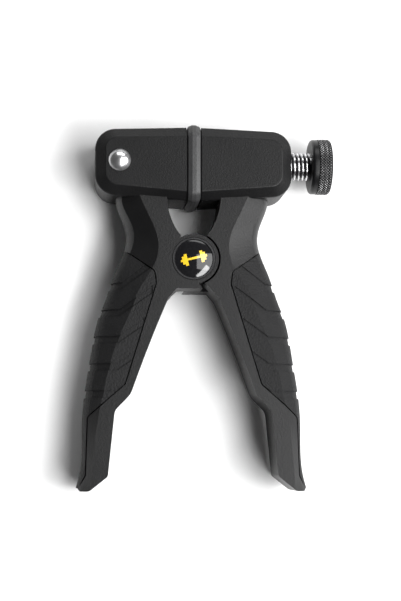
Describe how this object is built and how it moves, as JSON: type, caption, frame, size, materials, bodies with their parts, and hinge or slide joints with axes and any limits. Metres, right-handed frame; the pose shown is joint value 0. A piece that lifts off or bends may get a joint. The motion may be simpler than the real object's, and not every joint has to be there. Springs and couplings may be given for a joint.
{
  "type": "adjustable hand gripper",
  "caption": "Adjustable hand gripper: two rubber-gripped handles on one pivot, a sprung split head, and a knurled knob on a draw screw that sets the resistance.",
  "frame": {"origin": "where the pivot axis meets the plane that the gripper lies on, at the flat back of the pivot cap", "axes": "+X towards the knob, +Y towards the head, +Z out of the front face along the pivot axis"},
  "size_m": [0.1091, 0.1552, 0.0338],
  "materials": {
    "casting": "satin black powder coat on a cast alloy handle",
    "grip_rubber": "fine-grained matte overmoulded rubber",
    "shell": "fine-textured satin black plastic",
    "bumper_rubber": "satin rubber",
    "zinc_steel": "bright zinc plate",
    "steel": "turned steel",
    "spring_steel": "oiled spring steel",
    "chrome": "polished chrome",
    "knob_black": "black oxide over knurled steel",
    "bronze": "sintered bronze",
    "nylon": "natural nylon",
    "cap_plastic": "matte black plastic",
    "badge_ring": "gloss black",
    "badge_gloss": "clear-domed gloss black with a plain yellow mark"
  },
  "bodies": {
    "left_half": {"left_handle": "casting", "left_grip": "grip_rubber", "left_shell_front": "shell", "left_shell_back": "shell", "left_shell_screws": "zinc_steel", "bumper": "bumper_rubber", "rivet_pin": "chrome", "rivet_washer": "zinc_steel", "pivot_bolt": "zinc_steel", "lap_washer": "nylon", "nut_washer": "zinc_steel", "pivot_nut": "zinc_steel", "pivot_cap": "cap_plastic", "badge_ring": "badge_ring", "badge": "badge_gloss"},
    "right_half": {"right_handle": "casting", "right_grip": "grip_rubber", "right_shell_front": "shell", "right_shell_back": "shell", "right_shell_screws": "zinc_steel", "pivot_bush": "bronze", "thrust_washer": "zinc_steel", "spring": "spring_steel"},
    "swivel": {"swivel_block": "steel"},
    "screw_and_knob": {"draw_screw": "steel", "retaining_clip": "spring_steel", "knob": "knob_black", "knob_screw": "zinc_steel", "knob_cap": "knob_black"},
    "spring_seat": {"seat_nut": "steel"}
  },
  "joints": [
    {"name": "squeeze", "type": "hinge", "parent": "left_half", "child": "right_half", "pos_m": [0, 0, 0.016], "axis": [0, 0, -1], "range_deg": [0, 9], "stiffness_Nm_per_rad": 50, "springref_deg": -8.59, "deforming": ["spring"]},
    {"name": "swivel_tilt", "type": "hinge", "parent": "left_half", "child": "swivel", "pos_m": [-0.0316, 0.0412, 0.016], "axis": [0, 0, -1], "range_deg": [0, 3.2]},
    {"name": "knob_turn", "type": "hinge", "parent": "swivel", "child": "screw_and_knob", "pos_m": [0.05, 0.0426, 0.016], "axis": [-1, 0, 0], "range_deg": [0, 720]},
    {"name": "seat_travel", "type": "slide", "parent": "swivel", "child": "spring_seat", "axis": [1, 0, 0], "range_m": [0, 0.00352]}
  ],
  "couplings": [
    {"joint": "swivel_tilt", "follows": "squeeze", "ratio": 0.35},
    {"joint": "seat_travel", "follows": "knob_turn", "m_per_rad": 0.00027852}
  ]
}
